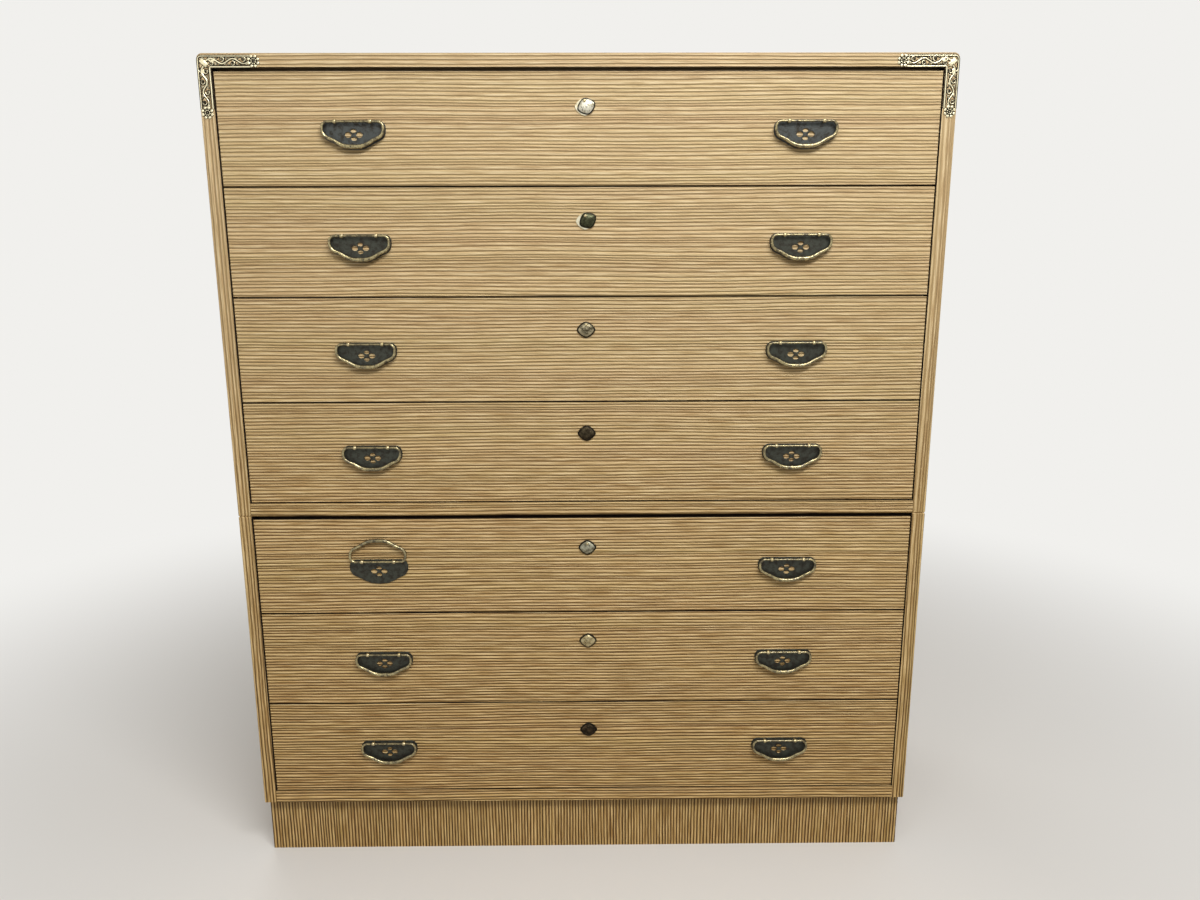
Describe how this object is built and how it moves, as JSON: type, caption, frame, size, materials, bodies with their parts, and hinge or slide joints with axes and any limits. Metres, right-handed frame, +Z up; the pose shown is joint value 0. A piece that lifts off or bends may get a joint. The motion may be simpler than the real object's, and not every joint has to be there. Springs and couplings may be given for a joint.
{
  "type": "isho clothing chest",
  "caption": "Two-part stacking wooden clothing chest with wide drawers, bail handles on pierced plates, swinging keyhole covers and a recessed plinth.",
  "frame": {"origin": "on the floor, in the middle of the overall width and depth, handles included", "axes": "+Z up, the drawers open towards -Y, +X to the right for someone facing the chest"},
  "size_m": [1.05, 0.4489, 1.2404],
  "materials": {
    "case_wood": "brushed ribbed grain, matt wax",
    "drawer_wood": "brushed ribbed grain, matt wax",
    "inner_wood": "planed, bare",
    "back_wood": "planed, bare",
    "dark_iron": "black patina, waxed",
    "bail_brass": "aged, rubbed bright on the edges",
    "lock_brass": "aged and hammered",
    "pale_brass": "polished, pierced",
    "steel": "plain"
  },
  "bodies": {
    "lower_case": {"lower_side_panels": "case_wood", "lower_dust_boards": "inner_wood", "lower_bottom_board": "case_wood", "lower_back_panel": "back_wood", "plinth": "case_wood"},
    "upper_case": {"upper_side_panels": "case_wood", "upper_top_board": "case_wood", "upper_dust_boards": "inner_wood", "upper_bottom_board": "case_wood", "upper_back_panel": "back_wood", "corner_mounts": "pale_brass"},
    "drawer_1": {"drawer_1_front": "drawer_wood", "drawer_1_box": "inner_wood", "drawer_1_fittings": "dark_iron"},
    "drawer_1_left_bail": {"drawer_1_left_bail": "bail_brass"},
    "drawer_1_right_bail": {"drawer_1_right_bail": "bail_brass"},
    "drawer_1_key_cover": {"drawer_1_key_cover": "lock_brass"},
    "drawer_1_lock_bolt": {"drawer_1_lock_bolt": "steel"},
    "drawer_2": {"drawer_2_front": "drawer_wood", "drawer_2_box": "inner_wood", "drawer_2_fittings": "dark_iron"},
    "drawer_2_left_bail": {"drawer_2_left_bail": "bail_brass"},
    "drawer_2_right_bail": {"drawer_2_right_bail": "bail_brass"},
    "drawer_2_key_cover": {"drawer_2_key_cover": "lock_brass"},
    "drawer_2_lock_bolt": {"drawer_2_lock_bolt": "steel"},
    "drawer_3": {"drawer_3_front": "drawer_wood", "drawer_3_box": "inner_wood", "drawer_3_fittings": "dark_iron"},
    "drawer_3_left_bail": {"drawer_3_left_bail": "bail_brass"},
    "drawer_3_right_bail": {"drawer_3_right_bail": "bail_brass"},
    "drawer_3_key_cover": {"drawer_3_key_cover": "lock_brass"},
    "drawer_3_lock_bolt": {"drawer_3_lock_bolt": "steel"},
    "drawer_4": {"drawer_4_front": "drawer_wood", "drawer_4_box": "inner_wood", "drawer_4_fittings": "dark_iron"},
    "drawer_4_left_bail": {"drawer_4_left_bail": "bail_brass"},
    "drawer_4_right_bail": {"drawer_4_right_bail": "bail_brass"},
    "drawer_4_key_cover": {"drawer_4_key_cover": "lock_brass"},
    "drawer_4_lock_bolt": {"drawer_4_lock_bolt": "steel"},
    "drawer_5": {"drawer_5_front": "drawer_wood", "drawer_5_box": "inner_wood", "drawer_5_fittings": "dark_iron"},
    "drawer_5_left_bail": {"drawer_5_left_bail": "bail_brass"},
    "drawer_5_right_bail": {"drawer_5_right_bail": "bail_brass"},
    "drawer_5_key_cover": {"drawer_5_key_cover": "lock_brass"},
    "drawer_5_lock_bolt": {"drawer_5_lock_bolt": "steel"},
    "drawer_6": {"drawer_6_front": "drawer_wood", "drawer_6_box": "inner_wood", "drawer_6_fittings": "dark_iron"},
    "drawer_6_left_bail": {"drawer_6_left_bail": "bail_brass"},
    "drawer_6_right_bail": {"drawer_6_right_bail": "bail_brass"},
    "drawer_6_key_cover": {"drawer_6_key_cover": "lock_brass"},
    "drawer_6_lock_bolt": {"drawer_6_lock_bolt": "steel"},
    "drawer_7": {"drawer_7_front": "drawer_wood", "drawer_7_box": "inner_wood", "drawer_7_fittings": "dark_iron"},
    "drawer_7_left_bail": {"drawer_7_left_bail": "bail_brass"},
    "drawer_7_right_bail": {"drawer_7_right_bail": "bail_brass"},
    "drawer_7_key_cover": {"drawer_7_key_cover": "lock_brass"},
    "drawer_7_lock_bolt": {"drawer_7_lock_bolt": "steel"}
  },
  "joints": [
    {"name": "upper_case_lift", "type": "slide", "parent": "lower_case", "child": "upper_case", "axis": [0, 0, 1], "range_m": [0, 0.1]},
    {"name": "drawer_1_slide", "type": "slide", "parent": "upper_case", "child": "drawer_1", "axis": [0, -1, 0], "range_m": [0, 0.35]},
    {"name": "drawer_1_left_bail_hinge", "type": "hinge", "parent": "drawer_1", "child": "drawer_1_left_bail", "pos_m": [-0.3155, -0.22115, 1.1505], "axis": [-1, 0, 0], "range_deg": [-2.24, 185]},
    {"name": "drawer_1_right_bail_hinge", "type": "hinge", "parent": "drawer_1", "child": "drawer_1_right_bail", "pos_m": [0.3155, -0.22115, 1.1505], "axis": [-1, 0, 0], "range_deg": [-2.24, 185]},
    {"name": "drawer_1_key_cover_swing", "type": "hinge", "parent": "drawer_1", "child": "drawer_1_key_cover", "pos_m": [0.0065, -0.2159, 1.1773], "axis": [0, 1, 0], "range_deg": [-90, 130]},
    {"name": "drawer_1_lock_bolt_slide", "type": "slide", "parent": "drawer_1", "child": "drawer_1_lock_bolt", "axis": [0, 0, 1], "range_m": [0, 0.007]},
    {"name": "drawer_2_slide", "type": "slide", "parent": "upper_case", "child": "drawer_2", "axis": [0, -1, 0], "range_m": [0, 0.35]},
    {"name": "drawer_2_left_bail_hinge", "type": "hinge", "parent": "drawer_2", "child": "drawer_2_left_bail", "pos_m": [-0.3155, -0.22115, 0.9967], "axis": [-1, 0, 0], "range_deg": [-2.24, 185]},
    {"name": "drawer_2_right_bail_hinge", "type": "hinge", "parent": "drawer_2", "child": "drawer_2_right_bail", "pos_m": [0.3155, -0.22115, 0.9967], "axis": [-1, 0, 0], "range_deg": [-2.24, 185]},
    {"name": "drawer_2_key_cover_swing", "type": "hinge", "parent": "drawer_2", "child": "drawer_2_key_cover", "pos_m": [0.0065, -0.2159, 1.0235], "axis": [0, 1, 0], "range_deg": [-80, 140]},
    {"name": "drawer_2_lock_bolt_slide", "type": "slide", "parent": "drawer_2", "child": "drawer_2_lock_bolt", "axis": [0, 0, 1], "range_m": [0, 0.007]},
    {"name": "drawer_3_slide", "type": "slide", "parent": "upper_case", "child": "drawer_3", "axis": [0, -1, 0], "range_m": [0, 0.35]},
    {"name": "drawer_3_left_bail_hinge", "type": "hinge", "parent": "drawer_3", "child": "drawer_3_left_bail", "pos_m": [-0.3155, -0.22115, 0.8429], "axis": [-1, 0, 0], "range_deg": [-2.24, 185]},
    {"name": "drawer_3_right_bail_hinge", "type": "hinge", "parent": "drawer_3", "child": "drawer_3_right_bail", "pos_m": [0.3155, -0.22115, 0.8429], "axis": [-1, 0, 0], "range_deg": [-2.24, 185]},
    {"name": "drawer_3_key_cover_swing", "type": "hinge", "parent": "drawer_3", "child": "drawer_3_key_cover", "pos_m": [0.0065, -0.2159, 0.8697], "axis": [0, 1, 0], "range_deg": [-110, 110]},
    {"name": "drawer_3_lock_bolt_slide", "type": "slide", "parent": "drawer_3", "child": "drawer_3_lock_bolt", "axis": [0, 0, 1], "range_m": [0, 0.007]},
    {"name": "drawer_4_slide", "type": "slide", "parent": "upper_case", "child": "drawer_4", "axis": [0, -1, 0], "range_m": [0, 0.35]},
    {"name": "drawer_4_left_bail_hinge", "type": "hinge", "parent": "drawer_4", "child": "drawer_4_left_bail", "pos_m": [-0.3155, -0.22115, 0.6891], "axis": [-1, 0, 0], "range_deg": [-2.24, 185]},
    {"name": "drawer_4_right_bail_hinge", "type": "hinge", "parent": "drawer_4", "child": "drawer_4_right_bail", "pos_m": [0.3155, -0.22115, 0.6891], "axis": [-1, 0, 0], "range_deg": [-2.24, 185]},
    {"name": "drawer_4_key_cover_swing", "type": "hinge", "parent": "drawer_4", "child": "drawer_4_key_cover", "pos_m": [0.0065, -0.2159, 0.7159], "axis": [0, 1, 0], "range_deg": [-110, 110]},
    {"name": "drawer_4_lock_bolt_slide", "type": "slide", "parent": "drawer_4", "child": "drawer_4_lock_bolt", "axis": [0, 0, 1], "range_m": [0, 0.007]},
    {"name": "drawer_5_slide", "type": "slide", "parent": "lower_case", "child": "drawer_5", "axis": [0, -1, 0], "range_m": [0, 0.35]},
    {"name": "drawer_5_left_bail_hinge", "type": "hinge", "parent": "drawer_5", "child": "drawer_5_left_bail", "pos_m": [-0.3155, -0.22115, 0.5099], "axis": [-1, 0, 0], "range_deg": [-187.24, 0]},
    {"name": "drawer_5_right_bail_hinge", "type": "hinge", "parent": "drawer_5", "child": "drawer_5_right_bail", "pos_m": [0.3155, -0.22115, 0.5099], "axis": [-1, 0, 0], "range_deg": [-2.24, 185]},
    {"name": "drawer_5_key_cover_swing", "type": "hinge", "parent": "drawer_5", "child": "drawer_5_key_cover", "pos_m": [0.0065, -0.2159, 0.5367], "axis": [0, 1, 0], "range_deg": [-110, 110]},
    {"name": "drawer_5_lock_bolt_slide", "type": "slide", "parent": "drawer_5", "child": "drawer_5_lock_bolt", "axis": [0, 0, 1], "range_m": [0, 0.007]},
    {"name": "drawer_6_slide", "type": "slide", "parent": "lower_case", "child": "drawer_6", "axis": [0, -1, 0], "range_m": [0, 0.35]},
    {"name": "drawer_6_left_bail_hinge", "type": "hinge", "parent": "drawer_6", "child": "drawer_6_left_bail", "pos_m": [-0.3155, -0.22115, 0.3561], "axis": [-1, 0, 0], "range_deg": [-2.24, 185]},
    {"name": "drawer_6_right_bail_hinge", "type": "hinge", "parent": "drawer_6", "child": "drawer_6_right_bail", "pos_m": [0.3155, -0.22115, 0.3561], "axis": [-1, 0, 0], "range_deg": [-2.24, 185]},
    {"name": "drawer_6_key_cover_swing", "type": "hinge", "parent": "drawer_6", "child": "drawer_6_key_cover", "pos_m": [0.0065, -0.2159, 0.3829], "axis": [0, 1, 0], "range_deg": [-110, 110]},
    {"name": "drawer_6_lock_bolt_slide", "type": "slide", "parent": "drawer_6", "child": "drawer_6_lock_bolt", "axis": [0, 0, 1], "range_m": [0, 0.007]},
    {"name": "drawer_7_slide", "type": "slide", "parent": "lower_case", "child": "drawer_7", "axis": [0, -1, 0], "range_m": [0, 0.35]},
    {"name": "drawer_7_left_bail_hinge", "type": "hinge", "parent": "drawer_7", "child": "drawer_7_left_bail", "pos_m": [-0.3155, -0.22115, 0.2023], "axis": [-1, 0, 0], "range_deg": [-2.24, 185]},
    {"name": "drawer_7_right_bail_hinge", "type": "hinge", "parent": "drawer_7", "child": "drawer_7_right_bail", "pos_m": [0.3155, -0.22115, 0.2023], "axis": [-1, 0, 0], "range_deg": [-2.24, 185]},
    {"name": "drawer_7_key_cover_swing", "type": "hinge", "parent": "drawer_7", "child": "drawer_7_key_cover", "pos_m": [0.0065, -0.2159, 0.2291], "axis": [0, 1, 0], "range_deg": [-110, 110]},
    {"name": "drawer_7_lock_bolt_slide", "type": "slide", "parent": "drawer_7", "child": "drawer_7_lock_bolt", "axis": [0, 0, 1], "range_m": [0, 0.007]}
  ]
}
